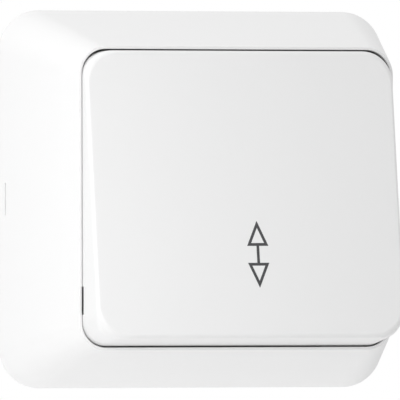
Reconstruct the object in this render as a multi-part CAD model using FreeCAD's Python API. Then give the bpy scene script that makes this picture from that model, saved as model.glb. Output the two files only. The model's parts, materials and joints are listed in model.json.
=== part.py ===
import FreeCAD, Part
import math
import os

from FreeCAD import Placement, Rotation, Vector

# Surface-mounted two-way rocker switch, in millimetres.
# +X is right, +Z is up and the front faces -Y. The origin is on the wall face, in the middle of the base.
# A depth is a distance in front of the wall, so a point at depth d has y = -d.

# Housing
base_width = 86.5
base_height = 80.0
base_corner = 9.0
band_depth = 0.6            # straight band at the wall, before the sides taper
rim_depth = 28.6
rim_inset = 8.65            # from the base's side to the opening's side
opening_width = base_width - 2 * rim_inset
opening_height = base_height - 2 * rim_inset
opening_corner = 5.3
rim_land = 0.6
rim_chamfer = 0.12
cover_wall = 2.0
knockout_length = 6.8
knockout_depth = 2.8        # of the score line, in front of the wall
knockout_width = 0.35
knockout_cut = 0.5

# Base plate
plate_thickness = 2.5
plate_clearance = 0.25
slot_inset = 13.25          # from the base's side to a slot's centre
slot_spacing = base_width - 2 * slot_inset
slot_width = 4.2
slot_length = 8.0
slot_sliver = 0.001
slot_sink_width = 8.4
slot_sink_cut = 1.0
cable_width = 16.0
cable_height = 10.0
cable_inset = 12.0          # from the base's lower side to the entry's centre
cable_centre_x = 0.0
cable_centre_z = cable_inset - base_height / 2
cable_corner = 2.0

# Cover fixing, in the upper left and lower right corners
cover_screw_inset_x = 15.25
cover_screw_inset_z = 14.5
cover_screw_x = base_width / 2 - cover_screw_inset_x
cover_screw_z = base_height / 2 - cover_screw_inset_z
post_diameter = 8.0
post_top = 12.0
tab_thickness = 2.5
tab_reach = 4.2             # from the screw's axis towards the middle

# Screws
screw_gap = 0.06            # radial gap round a shank in its hole
cover_shank = 3.5
cover_head = 6.4
cover_head_height = 2.2
cover_thread_length = 8.0
mechanism_shank = 3.0
mechanism_head = 5.6
mechanism_head_height = 2.0
mechanism_screw_z = 18.0
terminal_shank = 3.5
terminal_head = 6.2
terminal_head_height = 2.4
shank_end_gap = 0.5         # past the tip of a screw

# Mechanism body
body_width = 42.0
body_height = 42.0
body_corner = 2.0
body_floor = 2.0
body_top = 16.0
chamber_width = 13.0
pocket_size = 10.4
pocket_centre_x = 14.0
wire_slot_width = 6.0
ledge_gap = 0.15            # between the body and the metal parts laid in it

# Lid and pivot ears
lid_thickness = 2.0
lid_width = 19.0
window_gap = 0.8            # round the stem's travel
ear_inner_x = 6.8
ear_thickness = 2.6
ear_foot = 14.0
pivot_depth = 28.0
pin_diameter = 3.0
pin_gap = 0.05
ear_round = 2.9

# Rocker
tilt = 8.0                  # each way from level
key_face_depth = 34.4
skirt_depth = 23.3
skirt_growth = 0.1          # how far each side has spread at the skirt's back edge
skirt_gap_x = 0.2           # between the skirt's back edge and the opening
skirt_gap_z = 0.7
key_width = opening_width - 2 * (skirt_gap_x + skirt_growth)
key_height = opening_height - 2 * (skirt_gap_z + skirt_growth)
key_corner = 6.2
key_wall = 1.8
key_round = 0.8
notch_length = 5.7
notch_inset = 9.35          # from the face's end to a notch's centre
notch_centre_z = key_height / 2 - notch_inset
notch_show = 0.9            # how far a notch reaches in front of the rim when its end stands out
rib_thickness = 1.2
rib_height = 3.4
claw_width = 6.0
claw_spread_z = 8.0
claw_thickness = 1.4
claw_hook = 0.7
claw_gap = 0.12
carrier_size = 28.0         # square plate that the key clips onto
carrier_thickness = 1.4
hub_gap = 0.3               # between the hub and each ear
hub_height = 8.0
hub_length = 6.0            # from the carrier plate towards the wall
stem_diameter = 6.6
stem_end_depth = 14.0
bore_diameter = 4.2
bore_floor_depth = 27.0

# Plunger and spring
plunger_gap = 0.08
plunger_length = 10.5
tip_diameter = 2.6
tip_length = 2.4
tip_clearance = 0.15        # from the level blade
spring_wire = 0.5
spring_gap = 0.25
spring_turns = 4.0
spring_wire_sides = 5       # the round wire is drawn with flats
spring_end_gap = 0.05

# Metal parts
strip_thickness = 1.2
strip_width = 8.0
strip_margin = 1.3          # past the contact button, at the strip's far end
pad_size = 8.0
pad_top = 8.0
wire_gap = 2.0
clamp_thickness = 1.2
clamp_size = 7.6
fulcrum_depth = 6.3
fulcrum_radius = 1.0
cheek_gap = 0.2             # each side of the blade
cheek_thickness = 0.8
cheek_height = 10.0
cheek_length = 4.0
blade_gap = 0.05
blade_width = 6.5
blade_thickness = 0.8
blade_half_length = 13.2
blade_bend = 11.0           # each arm leans out from level by this many degrees
contact_offset = 11.0
contact_radius = 1.7
contact_head = 0.9
dome_radius = 4.0
contact_gap = 0.05

pivot = Vector(0, -pivot_depth, 0)
fulcrum = Vector(0, -fulcrum_depth, 0)
x_axis = Vector(1, 0, 0)
outward = Vector(0, -1, 0)


def box(x0, x1, depth0, depth1, z0, z1):
    """A block between two depths."""
    return Part.makeBox(x1 - x0, depth1 - depth0, z1 - z0, Vector(x0, -depth1, z0))


def cylinder(radius, depth0, depth1, x=0.0, z=0.0):
    """A cylinder that stands out from the wall, between two depths."""
    return Part.makeCylinder(radius, depth1 - depth0, Vector(x, -depth0, z), outward)


def cross_cylinder(radius, x0, x1, depth, z=0.0):
    """A cylinder along X."""
    return Part.makeCylinder(radius, x1 - x0, Vector(x0, -depth, z), x_axis)


def rounded_outline(width, height, radius, depth, x=0.0, z=0.0):
    """A rectangle with round corners, parallel to the wall."""
    half_x, half_z = width / 2, height / 2
    edges = []
    corners = [(1, 1), (-1, 1), (-1, -1), (1, -1)]
    points = []
    for index, (side_x, side_z) in enumerate(corners):
        centre = Vector(x + side_x * (half_x - radius), -depth, z + side_z * (half_z - radius))
        start_angle = math.radians(90 * index)
        arc = [
            centre + Vector(radius * math.cos(start_angle + turn), 0, radius * math.sin(start_angle + turn))
            for turn in (0, math.pi / 4, math.pi / 2)
        ]
        points.append(arc)
    for index, arc in enumerate(points):
        following = points[(index + 1) % 4]
        edges.append(Part.Arc(*arc).toShape())
        edges.append(Part.LineSegment(arc[2], following[0]).toShape())
    return Part.Wire(edges)


def rounded_block(width, height, radius, depth0, depth1, x=0.0, z=0.0):
    """A block with round corners between two depths."""
    face = Part.Face(rounded_outline(width, height, radius, depth0, x, z))
    return face.extrude(Vector(0, depth0 - depth1, 0))


def drafted_block(width, height, corner, inset, end_corner, depth0, depth1):
    """Flat sides that lean in between two depths. Each corner is part of a cone that touches both sides."""
    span = depth1 - depth0
    slope = inset / span
    apex_depth = depth0 + span * corner / (corner - end_corner)
    shift = slope * (apex_depth - depth0)
    slab = box(-width, width, depth0, depth1, -height, height)
    cones = []
    rings = [[], []]
    for side_x, side_z in ((1, 1), (-1, 1), (-1, -1), (1, -1)):
        apex = Vector(side_x * (width / 2 - shift), -apex_depth, side_z * (height / 2 - shift))
        centre = Vector(side_x * (width / 2 - corner), -depth0, side_z * (height / 2 - corner))
        reach = (centre - apex).Length + span
        axis = (centre - apex).normalize()
        normals = [Vector(side_x, -slope, 0).normalize(), Vector(0, -slope, side_z).normalize()]
        half_angle = math.asin(abs(axis.dot(normals[0])))
        cones.append(Part.makeCone(0, reach * math.tan(half_angle), reach, apex, axis).common(slab))
        if side_x * side_z < 0:
            normals.reverse()
        for normal in normals:
            touch_line = axis - normal * axis.dot(normal)
            for ring, depth in zip(rings, (depth0, depth1)):
                ring.append(apex + touch_line * ((apex_depth - depth) / touch_line.y))
    faces = [Part.Face(Part.makePolygon(ring + ring[:1])) for ring in rings]
    for index, near in enumerate(rings[0]):
        following = (index + 1) % len(rings[0])
        corners = [near, rings[0][following], rings[1][following], rings[1][index], near]
        faces.append(Part.Face(Part.makePolygon(corners)))
    core = Part.makeSolid(Part.makeShell(faces))
    return core.fuse(cones).removeSplitter()


def profile_block(points, x0, x1):
    """Points given as (depth, z), joined by straight edges and drawn out along X."""
    corners = [Vector(x0, -depth, z) for depth, z in points]
    face = Part.Face(Part.makePolygon(corners + corners[:1]))
    return face.extrude(Vector(x1 - x0, 0, 0))


def slot(length, width, depth0, depth1, x, z):
    """A round-ended slot along X. The sliver of straight end keeps its outline closed."""
    return rounded_block(length, width, width / 2 - slot_sliver, depth0, depth1, x, z)


def edges_at(shape, depth):
    """The edges that lie wholly in one plane parallel to the wall."""
    found = []
    for edge in shape.Edges:
        bounds = edge.BoundBox
        if abs(bounds.YMin + depth) < 1e-4 and abs(bounds.YMax + depth) < 1e-4:
            found.append(edge)
    return found


def turned(shape, centre, degrees):
    """A copy turned about an axis along X."""
    copy = shape.copy()
    copy.rotate(centre, x_axis, degrees)
    return copy


def save(name, shape):
    solid = shape.removeSplitter()
    if solid.ShapeType != "Solid" and len(solid.Solids) == 1:
        solid = solid.Solids[0]
    if not solid.isValid() or not solid.Solids:
        raise ValueError("bad solid: " + name)
    solid.exportStep("parts/" + name + ".step")
    print(name, round(solid.Volume, 1), "mm3", len(solid.Faces), "faces")


def taper_shift(depth):
    """How far each outer side of the cover has moved in at a depth."""
    return (rim_inset - rim_land) * (depth - band_depth) / (rim_depth - band_depth)


def wall_inset():
    """The cover's wall, measured level."""
    slope = math.atan(taper_shift(rim_depth) / (rim_depth - band_depth))
    return cover_wall / math.cos(slope)


def collar_depth():
    """Where the tapered inside of the cover meets the straight sides of the opening."""
    share = 1 - (wall_inset() - rim_land) / taper_shift(rim_depth)
    return band_depth + share * (rim_depth - band_depth)


def hollow_corner():
    """The corner radius inside the cover at the wall."""
    return opening_corner + taper_shift(collar_depth())


def banded_block(width, height, corner, inset, end_corner, end_depth):
    """A straight band at the wall that goes on as drafted sides."""
    block = drafted_block(width, height, corner, inset, end_corner, band_depth, end_depth)
    section = [face for face in block.Faces if len(edges_at(face, band_depth)) == len(face.Edges)]
    return block.fuse(section[0].extrude(Vector(0, band_depth, 0))).removeSplitter()


def make_cover():
    """One moulding: tapered sides up to a rounded rim, with corner tabs and scored knock-outs."""
    outer = banded_block(
        base_width, base_height, base_corner, taper_shift(rim_depth), opening_corner + rim_land, rim_depth
    )
    outer = outer.makeChamfer(rim_chamfer, edges_at(outer, rim_depth))
    inside = 2 * wall_inset()
    hollow = banded_block(
        base_width - inside,
        base_height - inside,
        hollow_corner(),
        taper_shift(collar_depth()),
        opening_corner,
        collar_depth(),
    )
    opening = rounded_block(opening_width, opening_height, opening_corner, collar_depth() - 1, rim_depth)
    flare = drafted_block(
        opening_width,
        opening_height,
        opening_corner,
        -2 * rim_chamfer,
        opening_corner + 2 * rim_chamfer,
        rim_depth - rim_chamfer,
        rim_depth + rim_chamfer,
    )
    shell = outer.cut(hollow).cut(opening).cut(flare)
    for side in (1, -1):
        tab = box(
            cover_screw_x - tab_reach,
            base_width / 2,
            post_top,
            post_top + tab_thickness,
            -base_height / 2,
            tab_reach - cover_screw_z,
        )
        tab = tab.common(outer)
        tab = tab.cut(
            cylinder(
                cover_shank / 2 + screw_gap,
                post_top - 1,
                post_top + tab_thickness + 1,
                cover_screw_x,
                -cover_screw_z,
            )
        )
        if side < 0:
            tab.rotate(Vector(0, 0, 0), Vector(0, 1, 0), 180)
        shell = shell.fuse(tab)
        face_x = side * (base_width / 2 - taper_shift(knockout_depth))
        score = box(
            face_x - knockout_cut,
            face_x + knockout_cut,
            knockout_depth - knockout_width / 2,
            knockout_depth + knockout_width / 2,
            -knockout_length / 2,
            knockout_length / 2,
        )
        shell = shell.cut(score)
    return shell


def make_base_plate():
    """Plate against the wall, with two fixing slots, a cable entry and two posts for the cover.

    Its edge follows the draft of the cover's inside.
    """
    inset = wall_inset() + plate_clearance
    corner = hollow_corner() - plate_clearance
    draft = taper_shift(plate_thickness)
    plate = banded_block(
        base_width - 2 * inset, base_height - 2 * inset, corner, draft, corner - draft, plate_thickness
    )
    for side in (1, -1):
        post = cylinder(post_diameter / 2, 0, post_top, side * cover_screw_x, -side * cover_screw_z)
        plate = plate.fuse(post)
    for side in (1, -1):
        bore = cylinder(
            cover_shank / 2 + screw_gap,
            post_top + tab_thickness - cover_thread_length - tab_thickness - shank_end_gap,
            post_top + 1,
            side * cover_screw_x,
            -side * cover_screw_z,
        )
        plate = plate.cut(bore)
        slot_x = side * slot_spacing / 2
        plate = plate.cut(slot(slot_length, slot_width, -1, plate_thickness + 1, slot_x, 0))
        sink_length = slot_length + slot_sink_width - slot_width
        plate = plate.cut(
            slot(
                sink_length,
                slot_sink_width,
                plate_thickness - slot_sink_cut,
                plate_thickness + 1,
                slot_x,
                0,
            )
        )
        plate = plate.cut(
            cylinder(
                mechanism_shank / 2 + screw_gap,
                shank_end_gap / 2,
                plate_thickness + 1,
                0,
                side * mechanism_screw_z,
            )
        )
    entry = rounded_block(
        cable_width, cable_height, cable_corner, -1, plate_thickness + 1, cable_centre_x, cable_centre_z
    )
    return plate.cut(entry)


def pocket_places():
    """Centre of each terminal: the common one on the left, the two ways on the right."""
    return {
        "common": (-pocket_centre_x, 0.0),
        "upper": (pocket_centre_x, contact_offset),
        "lower": (pocket_centre_x, -contact_offset),
    }


def make_mechanism_body():
    """Open tray: a long chamber for the blade and three pockets for the terminals."""
    floor_top = plate_thickness + body_floor
    body = rounded_block(body_width, body_height, body_corner, plate_thickness, body_top)
    half = pocket_size / 2
    channel_half = strip_width / 2 + ledge_gap
    chamber_x, chamber_z = chamber_width / 2, contact_offset + channel_half
    body = body.cut(box(-chamber_x, chamber_x, floor_top, body_top + 1, -chamber_z, chamber_z))
    for x, z in pocket_places().values():
        side = 1 if x > 0 else -1
        body = body.cut(box(x - half, x + half, floor_top, body_top + 1, z - half, z + half))
        channel = sorted((0.0, x))
        body = body.cut(
            box(
                channel[0],
                channel[1],
                floor_top,
                floor_top + strip_thickness + ledge_gap,
                z - channel_half,
                z + channel_half,
            )
        )
        doorway = sorted((x, side * (body_width / 2 + 1)))
        body = body.cut(
            box(
                doorway[0],
                doorway[1],
                pad_top,
                body_top + 1,
                z - wire_slot_width / 2,
                z + wire_slot_width / 2,
            )
        )
    for side in (1, -1):
        hole = cylinder(
            mechanism_shank / 2 + screw_gap, plate_thickness - 1, body_top + 1, 0, side * mechanism_screw_z
        )
        body = body.cut(hole)
    return body


def make_mechanism_lid():
    """Closes the blade's chamber and carries the rocker's pivot in two ears."""
    top = body_top + lid_thickness
    lid = rounded_block(lid_width, body_height, body_corner, body_top, top)
    for side in (1, -1):
        inner = side * ear_inner_x
        outer = side * (ear_inner_x + ear_thickness)
        x0, x1 = sorted((inner, outer))
        foot = ear_foot / 2
        ear = profile_block(
            [(top, -foot), (top, foot), (pivot_depth, ear_round), (pivot_depth, -ear_round)], x0, x1
        )
        ear = ear.fuse(cross_cylinder(ear_round, x0, x1, pivot_depth))
        ear = ear.cut(cross_cylinder(pin_diameter / 2 + pin_gap, x0 - 1, x1 + 1, pivot_depth))
        lid = lid.fuse(ear)
    reach = (pivot_depth - body_top) * math.sin(math.radians(tilt))
    window_z = stem_diameter / 2 + reach + window_gap
    window_x = stem_diameter / 2 + window_gap
    lid = lid.cut(box(-window_x, window_x, body_top - 1, top + 1, -window_z, window_z))
    for side in (1, -1):
        lid = lid.cut(
            cylinder(mechanism_shank / 2 + screw_gap, body_top - 1, top + 1, 0, side * mechanism_screw_z)
        )
    return lid


def make_screw(shank, head, head_height, tip_depth, seat_depth, x, z):
    """A cheese-head screw."""
    shape = cylinder(shank / 2, tip_depth, seat_depth, x, z)
    return shape.fuse(cylinder(head / 2, seat_depth, seat_depth + head_height, x, z))


def make_terminal(name):
    """A brass strip on the chamber's floor that ends in a threaded pad."""
    floor_top = plate_thickness + body_floor
    strip_top = floor_top + strip_thickness
    x, z = pocket_places()[name]
    side = 1 if x > 0 else -1
    half = pad_size / 2
    far_x = -side * (contact_radius + strip_margin)
    x0, x1 = sorted((far_x, x))
    terminal = box(x0, x1, floor_top, strip_top, z - strip_width / 2, z + strip_width / 2)
    terminal = terminal.fuse(box(x - half, x + half, floor_top, pad_top, z - half, z + half))
    if name == "common":
        cheek_x = blade_width / 2 + cheek_gap
        ridge_half = cheek_x + cheek_thickness
        terminal = terminal.fuse(
            box(-ridge_half, ridge_half, strip_top - 1, fulcrum_depth, -fulcrum_radius, fulcrum_radius)
        )
        terminal = terminal.fuse(cross_cylinder(fulcrum_radius, -ridge_half, ridge_half, fulcrum_depth))
        terminal = terminal.fuse(
            box(-ridge_half, ridge_half, floor_top, strip_top, -strip_width / 2, strip_width / 2)
        )
        for cheek_side in (1, -1):
            cheek = sorted((cheek_side * cheek_x, cheek_side * ridge_half))
            terminal = terminal.fuse(
                box(cheek[0], cheek[1], floor_top, cheek_height, -cheek_length / 2, cheek_length / 2)
            )
    hole = cylinder(terminal_shank / 2 + screw_gap, floor_top - 1, pad_top + 1, x, z)
    return terminal.cut(hole)


def make_clamp_plate(name):
    """The square plate that a terminal screw presses onto the wire."""
    x, z = pocket_places()[name]
    half = clamp_size / 2
    low = pad_top + wire_gap
    plate = box(x - half, x + half, low, low + clamp_thickness, z - half, z + half)
    return plate.cut(cylinder(terminal_shank / 2 + screw_gap, low - 1, low + clamp_thickness + 1, x, z))


def dome_rest_depth():
    """Depth of the lower contact's dome at rest, where the blade's lower arm is pressed home."""
    lean, turn = math.radians(blade_bend), math.radians(tilt)
    lift = dome_radius - contact_head
    centre_out = fulcrum_radius + blade_gap + contact_offset * math.sin(lean) + lift * math.cos(lean)
    centre_along = contact_offset * math.cos(lean) - lift * math.sin(lean)
    rest_out = centre_out * math.cos(turn) - centre_along * math.sin(turn)
    return fulcrum_depth + rest_out - dome_radius


def make_fixed_contact(side):
    """A flat contact button on a terminal strip, just clear of the blade's dome at rest."""
    low = plate_thickness + body_floor + strip_thickness
    top = dome_rest_depth() - contact_gap
    return cylinder(contact_radius, low, top, 0, side * contact_offset)


def make_blade():
    """Seesaw blade, level: two arms that lean out from the fold on the fulcrum."""
    lean = math.radians(blade_bend)
    back = fulcrum_depth + fulcrum_radius + blade_gap
    rise = blade_half_length * math.tan(lean)
    front = back + blade_thickness / math.cos(lean)
    profile = [
        (back, 0.0),
        (back + rise, blade_half_length),
        (front + rise, blade_half_length),
        (front, 0.0),
        (front + rise, -blade_half_length),
        (back + rise, -blade_half_length),
    ]
    return profile_block(profile, -blade_width / 2, blade_width / 2)


def make_moving_contact(side):
    """A domed contact on the wall side of one arm, with the blade level."""
    back = fulcrum_depth + fulcrum_radius + blade_gap
    disc = cylinder(contact_radius, back - contact_head, back, 0, contact_offset)
    ball = Part.makeSphere(dome_radius, Vector(0, -(back - contact_head + dome_radius), contact_offset))
    button = disc.common(ball)
    button = turned(button, Vector(0, -back, 0), blade_bend)
    if side < 0:
        button.rotate(Vector(0, 0, 0), Vector(0, 1, 0), 180)
    return button


def key_block(inset, depth0, depth1):
    """The rocker key's drafted form between two depths, level, moved in by an amount."""
    draft = skirt_growth / (key_face_depth - skirt_depth)
    spread0, spread1 = ((key_face_depth - depth) * draft - inset for depth in (depth0, depth1))
    return drafted_block(
        key_width + 2 * spread0,
        key_height + 2 * spread0,
        key_corner + spread0,
        spread0 - spread1,
        key_corner + spread1,
        depth0,
        depth1,
    )


def make_key():
    """The moulded key, level: a flat face, a drafted skirt, pry notches, ribs and clip claws."""
    shell = key_block(0, skirt_depth, key_face_depth)
    shell = shell.makeFillet(key_round, edges_at(shell, key_face_depth))
    under = key_face_depth - key_wall
    shell = shell.cut(key_block(key_wall, skirt_depth - 1, under))
    carrier_half = carrier_size / 2
    plate_back = under - carrier_thickness
    for side in (1, -1):
        for end in (1, -1):
            x0, x1 = sorted((side * (key_width / 2 - 2 * key_wall), side * (key_width / 2 + key_wall)))
            z0, z1 = (end * notch_centre_z - notch_length / 2, end * notch_centre_z + notch_length / 2)
            notch = box(x0, x1, skirt_depth - 1, rim_depth + notch_show, z0, z1)
            shell = shell.cut(turned(notch, pivot, -end * tilt))
            claw_z = end * claw_spread_z
            inner = side * (carrier_half + claw_gap)
            outer = side * (carrier_half + claw_gap + claw_thickness)
            x0, x1 = sorted((inner, outer))
            low = plate_back - claw_gap - claw_thickness
            claw = box(x0, x1, low, under, claw_z - claw_width / 2, claw_z + claw_width / 2)
            x0, x1 = sorted((side * (carrier_half - claw_hook), outer))
            hook = box(x0, x1, low, plate_back - claw_gap, claw_z - claw_width / 2, claw_z + claw_width / 2)
            shell = shell.fuse(claw).fuse(hook)
        rib_z = side * (carrier_half + rib_thickness)
        half = key_width / 2 - key_wall / 2
        z0, z1 = rib_z - rib_thickness / 2, rib_z + rib_thickness / 2
        shell = shell.fuse(box(-half, half, under - rib_height, under, z0, z1))
    return shell


def make_carrier():
    """Carries the key: a square plate, a hub with two pivot pins and a hollow stem, level."""
    front = key_face_depth - key_wall
    back = front - carrier_thickness
    half = carrier_size / 2
    plate = box(-half, half, back, front, -half, half)
    hub_half = ear_inner_x - hub_gap
    hub_low = back - hub_length
    hub = box(-hub_half, hub_half, hub_low, back, -hub_height / 2, hub_height / 2)
    pin_reach = ear_inner_x + ear_thickness
    pins = cross_cylinder(pin_diameter / 2, -pin_reach, pin_reach, pivot_depth)
    stem = cylinder(stem_diameter / 2, stem_end_depth, back)
    carrier = plate.fuse(hub).fuse(pins).fuse(stem)
    return carrier.cut(cylinder(bore_diameter / 2, stem_end_depth - 1, bore_floor_depth))


def plunger_tip_depth():
    lean = math.radians(blade_bend)
    return fulcrum_depth + fulcrum_radius + blade_gap + blade_thickness / math.cos(lean) + tip_clearance


def make_plunger():
    """Sliding plunger, level: a round-nosed tip below a guided barrel."""
    tip = plunger_tip_depth()
    radius = tip_diameter / 2
    shoulder = tip + tip_length + radius
    nose = Part.makeSphere(radius, Vector(0, -(tip + radius), 0))
    neck = cylinder(radius, tip + radius, shoulder)
    barrel = cylinder(bore_diameter / 2 - plunger_gap, shoulder, tip + plunger_length)
    return nose.fuse(neck).fuse(barrel)


def make_spring():
    """Helical spring between the plunger and the bore's floor, level."""
    low = plunger_tip_depth() + plunger_length + spring_end_gap
    high = bore_floor_depth - spring_end_gap
    radius = bore_diameter / 2 - spring_gap - spring_wire / 2
    length = high - low - spring_wire
    helix = Part.makeHelix(length / spring_turns, length, radius)
    section = []
    for index in range(spring_wire_sides):
        turn = 2 * math.pi * index / spring_wire_sides
        section.append(Vector(radius + spring_wire / 2 * math.cos(turn), 0, spring_wire / 2 * math.sin(turn)))
    profile = Part.makePolygon(section + section[:1])
    coil = Part.Wire(helix.Edges).makePipeShell([profile], True, True)
    coil.Placement = Placement(Vector(0, -(low + spring_wire / 2), 0), Rotation(x_axis, 90))
    return coil


os.makedirs("parts", exist_ok=True)

save("base_plate", make_base_plate())
save("cover", make_cover())
save("mechanism_body", make_mechanism_body())
save("mechanism_lid", make_mechanism_lid())

for place, direction in (("upper", 1), ("lower", -1)):
    seat = post_top + tab_thickness
    save(
        "cover_screw_" + place,
        make_screw(
            cover_shank,
            cover_head,
            cover_head_height,
            seat - tab_thickness - cover_thread_length,
            seat,
            -direction * cover_screw_x,
            direction * cover_screw_z,
        ),
    )
    save(
        "mechanism_screw_" + place,
        make_screw(
            mechanism_shank,
            mechanism_head,
            mechanism_head_height,
            shank_end_gap,
            body_top + lid_thickness,
            0,
            direction * mechanism_screw_z,
        ),
    )
    save(place + "_fixed_contact", make_fixed_contact(direction))
    save(place + "_moving_contact", turned(make_moving_contact(direction), fulcrum, tilt))

for place, (screw_x, screw_z) in pocket_places().items():
    seat = pad_top + wire_gap + clamp_thickness
    tip_depth = plate_thickness + body_floor + shank_end_gap
    save(place + "_terminal", make_terminal(place))
    save(place + "_clamp_plate", make_clamp_plate(place))
    save(
        place + "_terminal_screw",
        make_screw(
            terminal_shank, terminal_head, terminal_head_height, tip_depth, seat, screw_x, screw_z
        ),
    )

save("contact_blade", turned(make_blade(), fulcrum, tilt))
save("rocker_key", turned(make_key(), pivot, -tilt))
save("rocker_carrier", turned(make_carrier(), pivot, -tilt))
save("plunger", turned(make_plunger(), pivot, -tilt))
save("plunger_spring", turned(make_spring(), pivot, -tilt))
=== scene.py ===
import bmesh
import bpy
import json
import math
from mathutils import Matrix, Vector


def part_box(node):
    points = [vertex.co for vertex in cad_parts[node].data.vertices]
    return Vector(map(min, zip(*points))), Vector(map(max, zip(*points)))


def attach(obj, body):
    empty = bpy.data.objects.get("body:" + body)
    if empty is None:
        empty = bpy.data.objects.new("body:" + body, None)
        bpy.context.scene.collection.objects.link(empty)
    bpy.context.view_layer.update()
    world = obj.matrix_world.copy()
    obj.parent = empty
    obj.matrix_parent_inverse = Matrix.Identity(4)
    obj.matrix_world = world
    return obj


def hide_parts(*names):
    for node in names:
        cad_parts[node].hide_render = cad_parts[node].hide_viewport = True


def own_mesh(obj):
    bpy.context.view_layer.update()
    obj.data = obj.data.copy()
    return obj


# Two-way wall switch. Metres, +X right, +Z up, front towards -Y, origin on the wall face.
# A depth is a distance in front of the wall, so y = -depth.

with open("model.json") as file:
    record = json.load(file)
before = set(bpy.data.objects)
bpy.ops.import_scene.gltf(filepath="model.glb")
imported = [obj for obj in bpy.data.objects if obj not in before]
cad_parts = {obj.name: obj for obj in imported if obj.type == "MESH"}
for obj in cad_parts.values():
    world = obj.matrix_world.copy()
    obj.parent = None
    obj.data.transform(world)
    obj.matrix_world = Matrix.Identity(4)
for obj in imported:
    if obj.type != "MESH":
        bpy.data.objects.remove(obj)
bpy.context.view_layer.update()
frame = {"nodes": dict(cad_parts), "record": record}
print("frame loaded")

mm = 0.001
near = 0.01 * mm       # places closer than this count as one
speck = 0.001 * mm       # an edge shorter than this has no length
cornerAngle = 0.15       # radians, the least turn that makes an edge a corner


# Shader helpers

class Wire:
    # a shader socket that does arithmetic, each step of which adds a Math node
    def __init__(self, finish, socket):
        self.finish, self.socket = finish, socket

    def maths(self, operation, first, second):
        return self.finish.add("ShaderNodeMath", {"operation": operation}, {0: first, 1: second})

    def __add__(self, other):
        return self.maths("ADD", self, other)

    def __radd__(self, other):
        return self.maths("ADD", other, self)

    def __sub__(self, other):
        return self.maths("SUBTRACT", self, other)

    def __rsub__(self, other):
        return self.maths("SUBTRACT", other, self)

    def __mul__(self, other):
        return self.maths("MULTIPLY", self, other)

    def __rmul__(self, other):
        return self.maths("MULTIPLY", other, self)


class Finish:
    # one material; add() makes every node
    def __init__(self, name, roughness=0.4, metallic=0.0, constants=None):
        self.material = bpy.data.materials.new(name)
        self.material.use_nodes = True
        self.nodes = self.material.node_tree.nodes
        self.shader = self.nodes["Principled BSDF"]
        self.put("Roughness", roughness)
        self.put("Metallic", metallic)
        for socket, value in (constants or {}).items():
            self.put(socket, value)

    def feed(self, socket, value):
        if isinstance(value, Wire):
            self.material.node_tree.links.new(value.socket, socket)
        else:
            socket.default_value = value

    def put(self, socket, value):
        self.feed(self.shader.inputs[socket], value)

    def add(self, kind, settings=None, inputs=None, output=0):
        node = self.nodes.new(kind)
        for name, value in (settings or {}).items():
            setattr(node, name, value)
        for name, value in (inputs or {}).items():
            self.feed(node.inputs[name], value)
        return Wire(self, node.outputs[output])

    def place(self):
        return self.add("ShaderNodeTexCoord", output="Object")

    def noise(self, size, detail=2.0, roughness=0.5):
        # size is the width of a blotch in mm
        return self.add(
            "ShaderNodeTexNoise", {},
            {"Vector": self.place(), "Scale": 1 / (size * mm), "Detail": detail, "Roughness": roughness},
        )

    def blend(self, factor, first, second):
        return self.add(
            "ShaderNodeMix",
            {"data_type": "RGBA"},
            {"Factor": factor, 6: (*first, 1), 7: (*second, 1)},
            2,
        )

    def bump(self, height, strength, distance):
        # distance is the relief's height in mm
        relief = self.add(
            "ShaderNodeBump", {}, {"Height": height, "Strength": strength, "Distance": distance * mm}
        )
        self.put("Normal", relief)


# Finishes

# how far each pattern moves the roughness
glossSpread = {"cloud": 0.1, "grain": 0.06, "lines": 0.2, "tarnish": 0.15, "ink": 0.2}
drawnLines = {"scale": 900.0, "strength": 0.25, "height": 0.01}       # lines per metre, relief in mm


def mouldedPlastic(name, look):
    # faint clouding of the colour, an uneven gloss and a fine spark-eroded grain, sizes in mm
    finish = Finish(name, constants={"IOR": 1.5, "Coat Weight": 0.0})
    cloud = finish.noise(look["cloudSize"], 3.0)
    finish.put("Base Color", finish.blend(cloud, look["dark"], look["light"]))
    grain = finish.noise(look["grainSize"], 2.0, 0.6)
    uneven = (cloud - 0.5) * glossSpread["cloud"] + (grain - 0.5) * glossSpread["grain"]
    finish.put("Roughness", look["roughness"] + uneven)
    finish.bump(grain, look["grainStrength"], look["grainHeight"])
    return finish.material


def rolledMetal(name, look):
    # drawn lines along the axis where the grain's scale is low, and soft tarnish
    finish = Finish(name, metallic=1.0)
    stretched = finish.add(
        "ShaderNodeMapping", {}, {"Vector": finish.place(), "Scale": look["grain"]}
    )
    lines = finish.add(
        "ShaderNodeTexNoise", {},
        {"Vector": stretched, "Scale": drawnLines["scale"], "Detail": 3.0, "Roughness": 0.6},
    )
    tarnish = finish.noise(look["tarnishSize"], 3.0)
    finish.put("Base Color", finish.blend(tarnish, look["dark"], look["light"]))
    uneven = (lines - 0.5) * glossSpread["lines"] + (tarnish - 0.5) * glossSpread["tarnish"]
    finish.put("Roughness", look["roughness"] + uneven)
    finish.bump(lines, drawnLines["strength"], drawnLines["height"])
    return finish.material


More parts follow.
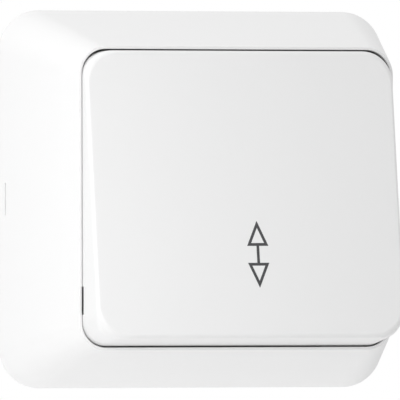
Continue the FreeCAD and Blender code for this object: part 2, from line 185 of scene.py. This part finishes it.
plasticLooks = {
    "coverWhite": {
        "light": (0.80, 0.80, 0.80), "dark": (0.788, 0.788, 0.788), "cloudSize": 18.0,
        "grainSize": 0.35, "grainStrength": 0.12, "grainHeight": 0.02, "roughness": 0.42,
    },
    "keyWhite": {
        "light": (0.80, 0.80, 0.80), "dark": (0.79, 0.79, 0.79), "cloudSize": 22.0,
        "grainSize": 0.3, "grainStrength": 0.08, "grainHeight": 0.015, "roughness": 0.38,
    },
    "backWhite": {
        "light": (0.74, 0.74, 0.73), "dark": (0.71, 0.71, 0.70), "cloudSize": 12.0,
        "grainSize": 0.5, "grainStrength": 0.25, "grainHeight": 0.03, "roughness": 0.55,
    },
    "naturalNylon": {
        "light": (0.70, 0.68, 0.60), "dark": (0.66, 0.63, 0.54), "cloudSize": 8.0,
        "grainSize": 0.4, "grainStrength": 0.15, "grainHeight": 0.02, "roughness": 0.5,
    },
    "darkResin": {
        "light": (0.035, 0.035, 0.038), "dark": (0.02, 0.02, 0.022), "cloudSize": 1.2,
        "grainSize": 0.25, "grainStrength": 0.3, "grainHeight": 0.02, "roughness": 0.5,
    },
}
metalLooks = {
    "brassSheet": {
        "light": (0.72, 0.52, 0.22), "dark": (0.58, 0.40, 0.16), "tarnishSize": 4.0,
        "grain": (0.15, 1.0, 1.0), "roughness": 0.34,
    },
    "copperAlloy": {
        "light": (0.74, 0.40, 0.24), "dark": (0.60, 0.30, 0.17), "tarnishSize": 3.0,
        "grain": (1.0, 1.0, 0.15), "roughness": 0.3,
    },
    "contactSilver": {
        "light": (0.82, 0.81, 0.78), "dark": (0.68, 0.66, 0.62), "tarnishSize": 1.5,
        "grain": (1.0, 1.0, 1.0), "roughness": 0.3,
    },
    "zincSteel": {
        "light": (0.66, 0.66, 0.64), "dark": (0.54, 0.55, 0.54), "tarnishSize": 2.5,
        "grain": (1.0, 0.2, 1.0), "roughness": 0.36,
    },
    "springSteel": {
        "light": (0.50, 0.50, 0.50), "dark": (0.38, 0.38, 0.39), "tarnishSize": 2.0,
        "grain": (1.0, 1.0, 0.3), "roughness": 0.3,
    },
}
finishes = {name: mouldedPlastic(name, look) for name, look in plasticLooks.items()}
finishes.update({name: rolledMetal(name, look) for name, look in metalLooks.items()})


def printInk():
    # grey pad-printed ink, a little uneven and duller than the plastic
    finish = Finish("printInk", constants={"IOR": 1.45})
    patch = finish.noise(0.6, 3.0)
    finish.put("Base Color", finish.blend(patch, (0.045, 0.045, 0.048), (0.07, 0.07, 0.073)))
    finish.put("Roughness", 0.5 + (patch - 0.5) * glossSpread["ink"])
    return finish.material


finishes["printInk"] = printInk()
slotFinish = {
    "white_moulding": "coverWhite", "key_moulding": "keyWhite", "back_moulding": "backWhite",
    "natural_moulding": "naturalNylon", "dark_moulding": "darkResin", "brass": "brassSheet",
    "copper_alloy": "copperAlloy", "contact_silver": "contactSilver", "plated_steel": "zincSteel",
    "spring_steel": "springSteel",
}
nodeSlot = {part["node"]: part["material_slot"] for part in frame["record"]["subparts"]}
for nodeName, node in frame["nodes"].items():
    material = finishes[slotFinish[nodeSlot[nodeName]]]
    if node.material_slots:
        for materialSlot in node.material_slots:
            materialSlot.material = material
    else:
        node.data.materials.append(material)
print("finishes made")


# Mesh helpers

def roundedLoop(bm, width, height, radius, depth, segments):
    # a rectangle with round corners, standing parallel to the wall; gives its edges
    earlier = set(bm.verts)
    made = bmesh.ops.create_grid(bm, x_segments=1, y_segments=1, size=0.5)
    bmesh.ops.scale(bm, vec=(width, height, 1), verts=made["verts"])
    bmesh.ops.bevel(
        bm, geom=made["verts"], offset=radius, offset_type="OFFSET", segments=segments, profile=0.5,
        affect="VERTICES", material=-1,
    )
    verts = [v for v in bm.verts if v not in earlier]
    bmesh.ops.rotate(bm, cent=(0, 0, 0), matrix=Matrix.Rotation(math.pi / 2, 3, "X"), verts=verts)
    bmesh.ops.translate(bm, vec=(0, -depth, 0), verts=verts)
    face = [f for f in bm.faces if f.verts[0] in verts]
    edges = list(face[0].edges)
    bmesh.ops.delete(bm, geom=face, context="FACES_ONLY")
    return edges


def bridgeAll(bm, edgeLoops):
    # worked in millimetres, because loops in one plane are matched wrongly in metres
    bmesh.ops.scale(bm, vec=(1 / mm, 1 / mm, 1 / mm), verts=bm.verts)
    for first, second in zip(edgeLoops, edgeLoops[1:]):
        bmesh.ops.bridge_loops(bm, edges=first + second)
    bmesh.ops.scale(bm, vec=(mm, mm, mm), verts=bm.verts)


def block(bm, x, depth, z):
    # a box between two values each of x, depth and z
    made = bmesh.ops.create_cube(bm, size=1)
    bmesh.ops.scale(bm, vec=(x[1] - x[0], depth[1] - depth[0], z[1] - z[0]), verts=made["verts"])
    centre = (sum(x) / 2, -sum(depth) / 2, sum(z) / 2)
    bmesh.ops.translate(bm, vec=centre, verts=made["verts"])
    return made["verts"]


def lathe(bm, profile, steps=48):
    # (radius, depth) points turned about an axis square to the wall
    verts = [bm.verts.new((radius, -depth, 0)) for radius, depth in profile]
    edges = [bm.edges.new(pair) for pair in zip(verts, verts[1:])]
    bmesh.ops.spin(
        bm, geom=verts + edges, cent=(0, 0, 0), axis=(0, 1, 0), angle=2 * math.pi, steps=steps,
        use_merge=True,
    )
    bmesh.ops.remove_doubles(bm, verts=bm.verts, dist=speck)


def ringEdges(bm, radius, depth):
    # the edges of one ring of a lathed shape
    def onRing(spot):
        return abs(spot.y + depth) < near and abs(math.hypot(spot.x, spot.z) - radius) < near

    return [e for e in bm.edges if all(onRing(v.co) for v in e.verts)]


def edgesAtDepth(bm, depth):
    # the corners of a moulding that lie in one plane parallel to the wall
    bm.normal_update()
    return [
        e for e in bm.edges
        if all(abs(v.co.y + depth) < near for v in e.verts) and e.calc_face_angle(0) > cornerAngle
    ]


def roundOff(bm, edges, offset, segments, clamp=True):
    bmesh.ops.bevel(
        bm, geom=edges, offset=offset, offset_type="OFFSET", segments=segments, profile=0.5,
        affect="EDGES", material=-1, clamp_overlap=clamp,
    )


def pieceName(node):
    first, *rest = node.split("_")
    return first + "".join(word.capitalize() for word in rest)


def meshPiece(name, bm, material):
    bmesh.ops.recalc_face_normals(bm, faces=bm.faces)
    mesh = bpy.data.meshes.new(name)
    bm.to_mesh(mesh)
    bm.free()
    mesh.materials.append(finishes[material])
    piece = bpy.data.objects.new(name, mesh)
    bpy.context.scene.collection.objects.link(piece)
    return piece


def combine(piece, bm, operation):
    # applies a Boolean with a tool that is then thrown away
    tool = meshPiece("tool", bm, "printInk")
    modifier = piece.modifiers.new("combine", "BOOLEAN")
    modifier.operation, modifier.solver, modifier.use_self = operation, "EXACT", True
    modifier.object = tool
    graph = bpy.context.evaluated_depsgraph_get()
    mesh = bpy.data.meshes.new_from_object(piece.evaluated_get(graph))
    piece.modifiers.clear()
    mesh.materials.clear()
    mesh.materials.append(piece.data.materials[0])
    mesh.name = piece.name
    piece.data = mesh
    bpy.data.objects.remove(tool)


def place(piece, body, node=None, angle=30):
    # soft shading that keeps real edges, then the piece's body and CAD node
    piece.data.shade_smooth()
    piece.data.set_sharp_from_angle(angle=math.radians(angle))
    weighted = piece.modifiers.new("evenShading", "WEIGHTED_NORMAL")
    weighted.keep_sharp = True
    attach(piece, body)
    if node:
        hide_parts(node)


def turned(bm, centreDepth, degrees, verts=None):
    # about an axis along X
    turn = Matrix.Rotation(math.radians(degrees), 3, "X")
    bmesh.ops.rotate(bm, cent=(0, -centreDepth, 0), matrix=turn, verts=verts or bm.verts)


# Cover

coverLow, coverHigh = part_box("cover")
screwLow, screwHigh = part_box("cover_screw_lower")
coverValues = {
    "width": coverHigh.x - coverLow.x, "height": coverHigh.z - coverLow.z, "corner": 9.0 * mm,
    "band": 0.6 * mm, "bandRound": 0.25 * mm, "rim": 28.6 * mm, "rimInset": 8.65 * mm,
    "rimLand": 0.6 * mm, "openingCorner": 5.3 * mm, "wall": 2.0 * mm, "edgeRound": 0.12 * mm,
    "segments": 24, "screwX": (screwLow.x + screwHigh.x) / 2, "screwZ": (screwLow.z + screwHigh.z) / 2,
    "screwHole": 1.81 * mm, "tabDepth": (12.0 * mm, 14.5 * mm), "tabReach": 4.2 * mm,
    "tabMargin": 4.6 * mm, "tabCorner": 7.0 * mm,
    "scoreLength": 6.8 * mm, "scoreWidth": 0.35 * mm, "scoreCut": 0.5 * mm, "scoreDepth": 2.8 * mm,
}


def sideShift(values, depth):
    # how far a tapered side has moved in at a depth
    share = (depth - values["band"]) / (values["rim"] - values["band"])
    return (values["rimInset"] - values["rimLand"]) * share


def coverShell(values):
    bm = bmesh.new()
    width, height = values["width"], values["height"]
    rim, band, land = values["rim"], values["band"], values["rimLand"]
    opening = (width - 2 * values["rimInset"], height - 2 * values["rimInset"])
    draft = sideShift(values, rim) / (rim - band)
    wall = values["wall"] * math.hypot(1, draft)       # the wall measured level
    collar = rim - (wall - land) / draft       # where the sloping inside meets the opening's straight sides
    inside = (width - 2 * wall, height - 2 * wall, values["openingCorner"] + (collar - band) * draft)
    loops = [
        (width, height, values["corner"], 0),
        (width, height, values["corner"], band),
        (opening[0] + 2 * land, opening[1] + 2 * land, values["openingCorner"] + land, rim),
        (*opening, values["openingCorner"], rim),
        (*opening, values["openingCorner"], collar),
        (*inside, band),
        (*inside, 0),
    ]
    edgeLoops = [roundedLoop(bm, *loop, values["segments"]) for loop in loops]
    bridgeAll(bm, edgeLoops + edgeLoops[:1])
    roundOff(bm, edgesAtDepth(bm, rim), values["edgeRound"], 5)
    roundOff(bm, edgesAtDepth(bm, band), values["bandRound"], 3)
    return meshPiece("coverShell", bm, "coverWhite")


def coverTabs(values):
    # a gusset across two opposite inner corners, as far as the middle of the wall
    bm = bmesh.new()
    reach, margin = values["tabReach"], values["tabMargin"]
    for side in (1, -1):
        x = sorted((side * (values["screwX"] - reach), side * (values["width"] / 2 - margin)))
        z = sorted((side * (values["screwZ"] + reach), side * (margin - values["height"] / 2)))
        verts = block(bm, x, values["tabDepth"], z)
        outer = [
            e for f in bm.faces for e in f.edges
            if all(v in verts and v.co.x * side > values["screwX"] and v.co.z * side < values["screwZ"]
                   for v in e.verts)
        ]
        roundOff(bm, list(set(outer)), values["tabCorner"], 12)
    return bm


def coverCuts(values):
    # the screws' holes and the score line of the knock-out in each side
    bm = bmesh.new()
    low, high = values["tabDepth"]
    for side in (1, -1):
        made = bmesh.ops.create_cone(
            bm, cap_ends=True, segments=40, radius1=values["screwHole"], radius2=values["screwHole"],
            depth=3 * (high - low),
        )
        bmesh.ops.rotate(
            bm, cent=(0, 0, 0), matrix=Matrix.Rotation(math.pi / 2, 3, "X"), verts=made["verts"]
        )
        centre = (side * values["screwX"], -(low + high) / 2, side * values["screwZ"])
        bmesh.ops.translate(bm, vec=centre, verts=made["verts"])
        level, cut = values["scoreDepth"], values["scoreCut"]
        half, reach = values["scoreWidth"] / 2, values["scoreLength"] / 2
        edge = side * (values["width"] / 2 - sideShift(values, level))
        block(bm, (edge - cut, edge + cut), (level - half, level + half), (-reach, reach))
    return bm


cover = coverShell(coverValues)
combine(cover, coverTabs(coverValues), "UNION")
combine(cover, coverCuts(coverValues), "DIFFERENCE")
place(cover, "housing", "cover")
print("cover made")


# Key, made level and then tipped to the rest pose

pivotDepth = -frame["record"]["behaviour"]["joints"][0]["pos_m"][1]
restTilt = -8.0
keyValues = {
    "width": 68.9 * mm, "height": 61.1 * mm, "faceCorner": 7.4 * mm, "backCorner": 5.2 * mm,
    "cornerBlend": 3.0 * mm, "face": 34.4 * mm, "skirt": 23.3 * mm, "growthX": 0.05 * mm,
    "growthZ": 0.2 * mm, "wall": 1.8 * mm,
    "edgeRound": 0.85 * mm, "edgeSteps": 8, "blendSteps": 4, "backRound": 0.2 * mm, "segments": 20,
    "notchLength": 5.9 * mm, "notchCentre": 21.5 * mm, "notchShow": 0.55 * mm,
    "carrierHalf": 14.0 * mm, "carrierThickness": 1.4 * mm, "clawGap": 0.12 * mm, "clawThickness": 1.4 * mm,
    "clawWidth": 6.0 * mm, "clawSpread": 8.0 * mm, "clawHook": 0.7 * mm,
    "ribThickness": 1.2 * mm, "ribHeight": 3.4 * mm,
}


def keySection(values, below, inset):
    # the outline at a distance below the face: the corners tighten there and the sides spread a little
    loose = max(0, 1 - below / values["cornerBlend"]) ** 2
    corner = values["backCorner"] + (values["faceCorner"] - values["backCorner"]) * loose
    share = below / (values["face"] - values["skirt"])
    width = values["width"] + 2 * (values["growthX"] * share - inset)
    height = values["height"] + 2 * (values["growthZ"] * share - inset)
    return width, height, corner - inset, values["face"] - below


def keyShell(values):
    bm = bmesh.new()
    wall, edge, blend = values["wall"], values["edgeRound"], values["cornerBlend"]
    angles = [math.pi / 2 * step / values["edgeSteps"] for step in range(values["edgeSteps"] + 1)]
    loops = [keySection(values, edge * (1 - math.cos(a)), edge * (1 - math.sin(a))) for a in angles]
    for step in range(1, values["blendSteps"] + 1):
        loops.append(keySection(values, edge + (blend - edge) * step / values["blendSteps"], 0))
    drop = values["face"] - values["skirt"]
    loops += [keySection(values, below, inset) for below, inset in ((drop, 0), (drop, wall), (wall, wall))]
    edgeLoops = [roundedLoop(bm, *loop, values["segments"]) for loop in loops]
    bridgeAll(bm, edgeLoops)
    for edges in (edgeLoops[0], edgeLoops[-1]):
        bmesh.ops.contextual_create(bm, geom=edges)
    roundOff(bm, edgesAtDepth(bm, values["skirt"]), values["backRound"], 2)
    return meshPiece("keyShell", bm, "keyWhite")


def keyClips(values):
    # claws that hold the carrier's plate, and a rib above and below them
    bm = bmesh.new()
    under, gap, half = values["face"] - values["wall"], values["clawGap"], values["carrierHalf"]
    plateBack = under - values["carrierThickness"]
    low = plateBack - gap - values["clawThickness"]
    root = under + values["wall"] / 2
    for side in (1, -1):
        for end in (1, -1):
            centre = end * values["clawSpread"]
            z = (centre - values["clawWidth"] / 2, centre + values["clawWidth"] / 2)
            outer = side * (half + gap + values["clawThickness"])
            block(bm, sorted((side * (half + gap), outer)), (low, root), z)
            block(bm, sorted((side * (half - values["clawHook"]), outer)), (low, plateBack - gap), z)
        centre = side * (half + values["ribThickness"])
        reach = values["width"] / 2 - values["wall"] / 2
        z = (centre - values["ribThickness"] / 2, centre + values["ribThickness"] / 2)
        block(bm, (-reach, reach), (under - values["ribHeight"], root), z)
    return bm


def keyNotches(values):
    # pry notches, each level with the rim when its end of the key stands out
    bm = bmesh.new()
    depth = (values["skirt"] - values["wall"], coverValues["rim"] + values["notchShow"])
    for side in (1, -1):
        for end in (1, -1):
            x = sorted((side * (values["width"] / 2 - 2 * values["wall"]), side * values["width"]))
            centre = end * values["notchCentre"]
            z = (centre - values["notchLength"] / 2, centre + values["notchLength"] / 2)
            turned(bm, pivotDepth, end * restTilt, block(bm, x, depth, z))
    return bm


def tipped(piece):
    # from level to the rest pose, about the rocker's pivot
    bm = bmesh.new()
    bm.from_mesh(piece.data)
    turned(bm, pivotDepth, restTilt)
    bm.to_mesh(piece.data)
    bm.free()


key = keyShell(keyValues)
combine(key, keyClips(keyValues), "UNION")
combine(key, keyNotches(keyValues), "DIFFERENCE")
tipped(key)
place(key, "rocker", "rocker_key")
print("key made")


# Printed double arrow

symbolValues = {
    "centreX": 2.0 * mm, "centreZ": -12.85 * mm, "turn": 0.25, "triangleWidth": 4.75 * mm,
    "triangleHeight": 5.3 * mm, "link": 3.6 * mm, "stroke": 0.6 * mm, "film": 0.02 * mm,
}


def symbolPrint(values):
    # two hollow triangles joined by a line, drawn on the level face
    bm = bmesh.new()
    half, link = values["link"] / 2, values["link"]
    for side in (1, -1):
        made = bmesh.ops.create_circle(bm, cap_ends=True, segments=3, radius=1)
        verts = made["verts"]
        top = max(verts, key=lambda v: v.co.y)
        for vert in verts:
            vert.co.y = half + values["triangleHeight"] if vert == top else half
            vert.co.x = 0 if vert == top else math.copysign(values["triangleWidth"] / 2, vert.co.x)
            vert.co.y *= side
        face = [f for f in bm.faces if verts[0] in f.verts]
        bm.normal_update()
        bmesh.ops.inset_individual(bm, faces=face, thickness=values["stroke"], use_even_offset=True)
        bmesh.ops.delete(bm, geom=face, context="FACES")
    made = bmesh.ops.create_grid(bm, x_segments=1, y_segments=1, size=0.5)
    bmesh.ops.scale(bm, vec=(values["stroke"], link, 1), verts=made["verts"])
    bmesh.ops.recalc_face_normals(bm, faces=bm.faces)
    extruded = bmesh.ops.extrude_face_region(bm, geom=list(bm.faces), use_keep_orig=True)
    lifted = [g for g in extruded["geom"] if isinstance(g, bmesh.types.BMVert)]
    bmesh.ops.translate(bm, vec=(0, 0, values["film"]), verts=lifted)
    spot = (values["centreX"], -keyValues["face"], values["centreZ"])
    for angle, axis in ((math.radians(values["turn"]), "Z"), (math.pi / 2, "X")):
        bmesh.ops.rotate(bm, cent=(0, 0, 0), matrix=Matrix.Rotation(angle, 3, axis), verts=bm.verts)
    bmesh.ops.translate(bm, vec=spot, verts=bm.verts)
    turned(bm, pivotDepth, restTilt)
    return meshPiece("symbolPrint", bm, "printInk")


symbol = symbolPrint(symbolValues)
place(symbol, "rocker")
print("symbol made")


# Screws, each inside its CAD node

screwValues = {
    "cover": {
        "shank": 3.5 * mm, "core": 2.5 * mm, "pitch": 1.3 * mm, "headRound": 0.9 * mm, "recess": "cross",
        "recessLength": 3.6 * mm, "recessWidth": 0.85 * mm, "recessCut": 1.5 * mm, "seat": 14.5 * mm,
    },
    "mechanism": {
        "shank": 3.0 * mm, "core": 2.2 * mm, "pitch": 1.1 * mm, "headRound": 0.8 * mm, "recess": "cross",
        "recessLength": 3.2 * mm, "recessWidth": 0.75 * mm, "recessCut": 1.3 * mm, "seat": 18.0 * mm,
    },
    "terminal": {
        "shank": 3.5 * mm, "core": 2.8 * mm, "pitch": 0.6 * mm, "headRound": 0.25 * mm, "recess": "slot",
        "recessLength": 7.0 * mm, "recessWidth": 0.9 * mm, "recessCut": 1.2 * mm, "seat": 11.2 * mm,
    },
}
threadValues = {
    "seatRound": 0.12 * mm, "neck": 0.4 * mm, "point": 0.6 * mm, "pointShare": 0.55,
    "rootSunk": 0.15 * mm, "crestGap": 0.02 * mm, "start": 0.3 * mm, "stop": 0.8 * mm,
    "ridgeShare": 0.42, "stepsEach": 28,
}       # alike on every screw


def screwBody(name, values, head, tip, top):
    # head, neck, core and blunt point, turned in one
    bm = bmesh.new()
    shank, core, seat = values["shank"] / 2, values["core"] / 2, values["seat"]
    lathe(bm, [
        (0, top), (head, top), (head, seat), (shank, seat), (core, seat - threadValues["neck"]),
        (core, tip + threadValues["point"]), (core * threadValues["pointShare"], tip), (0, tip),
    ])
    roundOff(bm, ringEdges(bm, head, top), values["headRound"], 6)
    roundOff(bm, ringEdges(bm, head, seat), threadValues["seatRound"], 2)
    return meshPiece(name, bm, "zincSteel")


def screwThread(values, tip):
    # one ridge wound round the core
    bm = bmesh.new()
    root = values["core"] / 2 - threadValues["rootSunk"]
    crest = values["shank"] / 2 - threadValues["crestGap"]
    start, stop = tip + threadValues["start"], values["seat"] - threadValues["stop"]
    pitch = values["pitch"]
    ridge = threadValues["ridgeShare"] * pitch
    corners = [(root, start), (crest, start + ridge / 2), (root, start + ridge)]
    verts = [bm.verts.new((radius, -depth, 0)) for radius, depth in corners]
    face = bm.faces.new(verts)
    turns = (stop - start - ridge) / pitch
    steps = int(turns * threadValues["stepsEach"])
    bmesh.ops.spin(
        bm, geom=[face], cent=(0, 0, 0), axis=(0, 1, 0), dvec=(0, -turns * pitch / steps, 0),
        angle=2 * math.pi * turns, steps=steps,
    )
    return bm


def screwRecess(values, top, angle):
    # a slot, or two that cross, from past the head's top
    bm = bmesh.new()
    half, width = values["recessLength"] / 2, values["recessWidth"] / 2
    depth = (top - values["recessCut"], top + 1 * mm)
    block(bm, (-half, half), depth, (-width, width))
    if values["recess"] == "cross":
        block(bm, (-width, width), depth, (-half, half))
    bmesh.ops.rotate(bm, cent=(0, 0, 0), matrix=Matrix.Rotation(angle, 3, "Y"), verts=bm.verts)
    return bm


def screw(node, values, angle):
    low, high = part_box(node)
    centre = (low + high) / 2
    tip, top = -high.y, -low.y
    head = (high.x - low.x) / 2
    piece = screwBody(pieceName(node), values, head, tip, top)
    combine(piece, screwThread(values, tip), "UNION")
    combine(piece, screwRecess(values, top, angle), "DIFFERENCE")
    piece.data.transform(Matrix.Translation((centre.x, 0, centre.z)))
    place(piece, "housing", node)


screwAngles = {
    "cover_screw_upper": 0.4, "cover_screw_lower": 1.1, "mechanism_screw_upper": 0.7,
    "mechanism_screw_lower": 0.2, "common_terminal_screw": 0.5, "upper_terminal_screw": 1.9,
    "lower_terminal_screw": 1.2,
}
for node, angle in screwAngles.items():
    kind = next(kind for kind in screwValues if kind in node)
    screw(node, screwValues[kind], angle)
print("screws made")


# Plunger and its spring, made level and then tipped with the rocker

plungerValues = {
    "tip": 8.315 * mm, "length": 10.5 * mm, "tipRadius": 1.3 * mm, "tipLength": 2.4 * mm,
    "barrelRadius": 2.02 * mm, "boreFloor": 27.0 * mm, "wire": 0.5 * mm, "coilRadius": 1.6 * mm,
    "endGap": 0.05 * mm, "endTurns": 0.9, "openTurns": 3.0, "closedPitch": 1.04, "stepsEach": 36,
    "pressed": 1.2 * mm, "tipRound": 0.96, "barrelRound": 0.2 * mm,
}


def plungerPin(values):
    bm = bmesh.new()
    tip, radius, barrel = values["tip"], values["tipRadius"], values["barrelRadius"]
    shoulder, end = tip + values["tipLength"] + radius, tip + values["length"]
    lathe(bm, [(0, tip), (radius, tip), (radius, shoulder), (barrel, shoulder), (barrel, end), (0, end)])
    roundOff(bm, ringEdges(bm, radius, tip), radius * values["tipRound"], 12)
    for edges in (ringEdges(bm, barrel, shoulder), ringEdges(bm, barrel, end)):
        roundOff(bm, edges, values["barrelRound"], 3)
    turned(bm, pivotDepth, restTilt)
    return meshPiece("plungerPin", bm, "naturalNylon")


def coilSpring(values):
    # closed end turns and an open middle, wound from one ring of wire
    bm = bmesh.new()
    wire = values["wire"] / 2
    low = values["tip"] + values["length"] + values["endGap"] + wire
    high = values["boreFloor"] - values["endGap"] - wire
    ring = bmesh.ops.create_circle(bm, cap_ends=True, segments=12, radius=wire)["verts"]
    bmesh.ops.translate(bm, vec=(values["coilRadius"], 0, 0), verts=ring)
    bmesh.ops.translate(bm, vec=(0, -low, 0), verts=ring)
    closedRise = values["endTurns"] * values["wire"] * values["closedPitch"]
    closed = (values["endTurns"], closedRise)
    runs = [closed, (values["openTurns"], high - low - 2 * closedRise), closed]
    start = list(bm.faces)
    last = start
    for turns, rise in runs:
        steps = int(turns * values["stepsEach"])
        wound = bmesh.ops.spin(
            bm, geom=last, cent=(0, 0, 0), axis=(0, 1, 0), dvec=(0, -rise / steps, 0),
            angle=2 * math.pi * turns, steps=steps,
        )
        if last != start:
            bmesh.ops.delete(bm, geom=last, context="FACES_ONLY")       # where two runs meet
        last = [g for g in wound["geom_last"] if isinstance(g, bmesh.types.BMFace)]
    turned(bm, pivotDepth, restTilt)
    return meshPiece("coilSpring", bm, "springSteel")


place(plungerPin(plungerValues), "plunger", "plunger")
spring = coilSpring(plungerValues)
place(spring, "rocker", "plunger_spring", angle=60)
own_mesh(spring)
print("plunger and spring made")


# Inner pieces: the CAD shapes with their surfaces joined up and their edges eased

easedEdges = {
    "base_plate": 0.3, "mechanism_body": 0.25, "mechanism_lid": 0.2, "rocker_carrier": 0.2,
    "common_terminal": 0.1, "upper_terminal": 0.1, "lower_terminal": 0.1,
    "common_clamp_plate": 0.15, "upper_clamp_plate": 0.15, "lower_clamp_plate": 0.15,
    "contact_blade": 0.08, "upper_moving_contact": 0.08, "lower_moving_contact": 0.08,
    "upper_fixed_contact": 0.1, "lower_fixed_contact": 0.1,
}       # radius of each node's edges in mm
easing = {"join": 0.005 * mm, "flat": math.radians(0.5), "edge": math.radians(30)}
nodeBody = {node: body for body, nodes in frame["record"]["behaviour"]["bodies"].items() for node in nodes}


def easedCopy(node, radius):
    bm = bmesh.new()
    bm.from_mesh(frame["nodes"][node].data)
    bmesh.ops.remove_doubles(bm, verts=bm.verts, dist=easing["join"])
    bmesh.ops.dissolve_degenerate(bm, dist=speck, edges=bm.edges)
    bmesh.ops.dissolve_limit(bm, angle_limit=easing["flat"], verts=bm.verts, edges=bm.edges)
    bmesh.ops.connect_verts_concave(bm, faces=bm.faces)       # a flat with holes overlaps itself otherwise
    sharp = [e for e in bm.edges if e.is_manifold and e.calc_face_angle() > easing["edge"]]
    roundOff(bm, sharp, radius * mm, 2, clamp=False)
    slot = nodeSlot[node]
    place(meshPiece(pieceName(node) + "Eased", bm, slotFinish[slot]), nodeBody[node], node)


for node, radius in easedEdges.items():
    easedCopy(node, radius)
print("inner pieces made")


# Thin web that closes the cable entry, scored so that it can be opened

entryValues = {
    "width": 16.4 * mm, "height": 10.4 * mm, "corner": 2.2 * mm, "depth": (0.5 * mm, 1.0 * mm),
    "centreZ": -28.0 * mm, "scoreWidth": 0.4 * mm, "scoreCut": 0.25 * mm, "scoreMargin": 0.8 * mm,
}


def entryWeb(values):
    bm = bmesh.new()
    low, high = values["depth"]
    outline = (values["width"], values["height"], values["corner"])
    edgeLoops = [roundedLoop(bm, *outline, depth, 8) for depth in (high, low)]
    bridgeAll(bm, edgeLoops)
    for edges in edgeLoops:
        bmesh.ops.contextual_create(bm, geom=edges)
    bmesh.ops.translate(bm, vec=(0, 0, values["centreZ"]), verts=bm.verts)
    return meshPiece("entryWeb", bm, "backWhite")


def entryScores(values):
    # two crossed lines, cut from the front
    bm = bmesh.new()
    high, half, centre = values["depth"][1], values["scoreWidth"] / 2, values["centreZ"]
    depth = (high - values["scoreCut"], high + values["scoreCut"])
    reachX, reachZ = (values[side] / 2 - values["scoreMargin"] for side in ("width", "height"))
    block(bm, (-reachX, reachX), depth, (centre - half, centre + half))
    block(bm, (-half, half), depth, (centre - reachZ, centre + reachZ))
    return bm


web = entryWeb(entryValues)
combine(web, entryScores(entryValues), "DIFFERENCE")
place(web, "housing")
print("cable entry made")


# Floor, lights and camera

floorValues = {"size": 3.0, "height": -0.1, "blotch": 30.0, "roughness": 0.8}       # metres, but blotch in mm
ambient = 0.72       # the surround's strength as light, where 1 is white
aimPoint = (0, -0.02, 0)
lightValues = {
    "windowPanel": {"place": (-0.30, -0.08, 0.18), "size": (0.3, 0.3), "power": 0.296},
    "sidePanel": {"place": (-0.12, -0.15, 0.0), "size": (0.1, 0.15), "power": 0.082},
    "topPanel": {"place": (-0.05, -0.02, 0.5), "size": (0.5, 0.3), "power": 0.496},
    "frontPanel": {"place": (-0.35, -0.7, 0.25), "size": (0.5, 0.5), "power": 0.092},
    "tablePanel": {"place": (0.0, 0.02, -0.095), "size": (0.4, 0.1), "power": 0.064},
    "lowPanel": {"place": (-0.25, -0.25, -0.095), "size": (0.3, 0.3), "power": 0.055},
}


def areaLight(name, values):
    lamp = bpy.data.lights.new(name, "AREA")
    lamp.shape, lamp.energy = "RECTANGLE", values["power"]
    lamp.size, lamp.size_y = values["size"]
    light = bpy.data.objects.new(name, lamp)
    bpy.context.scene.collection.objects.link(light)
    light.location = values["place"]
    aim = Vector(aimPoint) - light.location
    light.rotation_euler = aim.to_track_quat("-Z", "Y").to_euler()
    light.visible_camera = False


def studioFloor(values):
    bm = bmesh.new()
    bmesh.ops.create_grid(bm, x_segments=1, y_segments=1, size=values["size"] / 2)
    bmesh.ops.translate(bm, vec=(0, 0, values["height"]), verts=bm.verts)
    finish = Finish("floorPaper", roughness=values["roughness"])
    paper = finish.noise(values["blotch"], 2.0)
    finish.put("Base Color", finish.blend(paper, (0.82, 0.82, 0.82), (0.86, 0.86, 0.86)))
    finishes["floorPaper"] = finish.material
    meshPiece("floor", bm, "floorPaper")


def whiteSurround(strength):
    # plain white to the camera and in reflections, a softer level as light
    world = bpy.data.worlds.new("surround")
    bpy.context.scene.world = world
    world.use_nodes = True
    nodes, links = world.node_tree.nodes, world.node_tree.links
    background = nodes["Background"]
    background.inputs["Color"].default_value = (1, 1, 1, 1)
    paths = nodes.new("ShaderNodeLightPath")
    seen = nodes.new("ShaderNodeMath")
    seen.operation = "MAXIMUM"
    links.new(paths.outputs["Is Camera Ray"], seen.inputs[0])
    links.new(paths.outputs["Is Glossy Ray"], seen.inputs[1])
    through = nodes.new("ShaderNodeMath")
    through.operation = "MAXIMUM"
    links.new(seen.outputs[0], through.inputs[0])
    links.new(paths.outputs["Is Transmission Ray"], through.inputs[1])
    level = nodes.new("ShaderNodeMapRange")
    level.inputs["To Min"].default_value = strength
    level.inputs["To Max"].default_value = 1.0
    links.new(through.outputs[0], level.inputs["Value"])
    links.new(level.outputs["Result"], background.inputs["Strength"])


cameraValues = {
    "yaw": 20.0, "elevation": -0.45, "roll": 0.12, "distance": 3.0, "viewWidth": 85.0 * mm,
    "across": 2.02 * mm, "up": -0.13 * mm,
}


def photoCamera(values):
    yaw, elevation = math.radians(values["yaw"]), math.radians(values["elevation"])
    right = Vector((math.cos(yaw), -math.sin(yaw), 0))
    level = Vector((-math.sin(yaw), -math.cos(yaw), 0))
    towards = level * math.cos(elevation) + Vector((0, 0, math.sin(elevation)))
    target = right * values["across"] + Vector((0, 0, values["up"]))
    lens = bpy.data.cameras.new("camera")
    lens.lens = lens.sensor_width * values["distance"] / values["viewWidth"]
    lens.clip_start, lens.clip_end = 0.1, 30.0
    camera = bpy.data.objects.new("camera", lens)
    bpy.context.scene.collection.objects.link(camera)
    camera.location = target + towards * values["distance"]
    upright = (-towards).to_track_quat("-Z", "Y").to_matrix()
    roll = Matrix.Rotation(-math.radians(values["roll"]), 3, "Z")
    camera.rotation_euler = (upright @ roll).to_euler()
    bpy.context.scene.camera = camera


studioFloor(floorValues)
whiteSurround(ambient)
for name, values in lightValues.items():
    areaLight(name, values)
photoCamera(cameraValues)
bpy.context.scene.view_settings.view_transform = "Standard"
print("studio made")
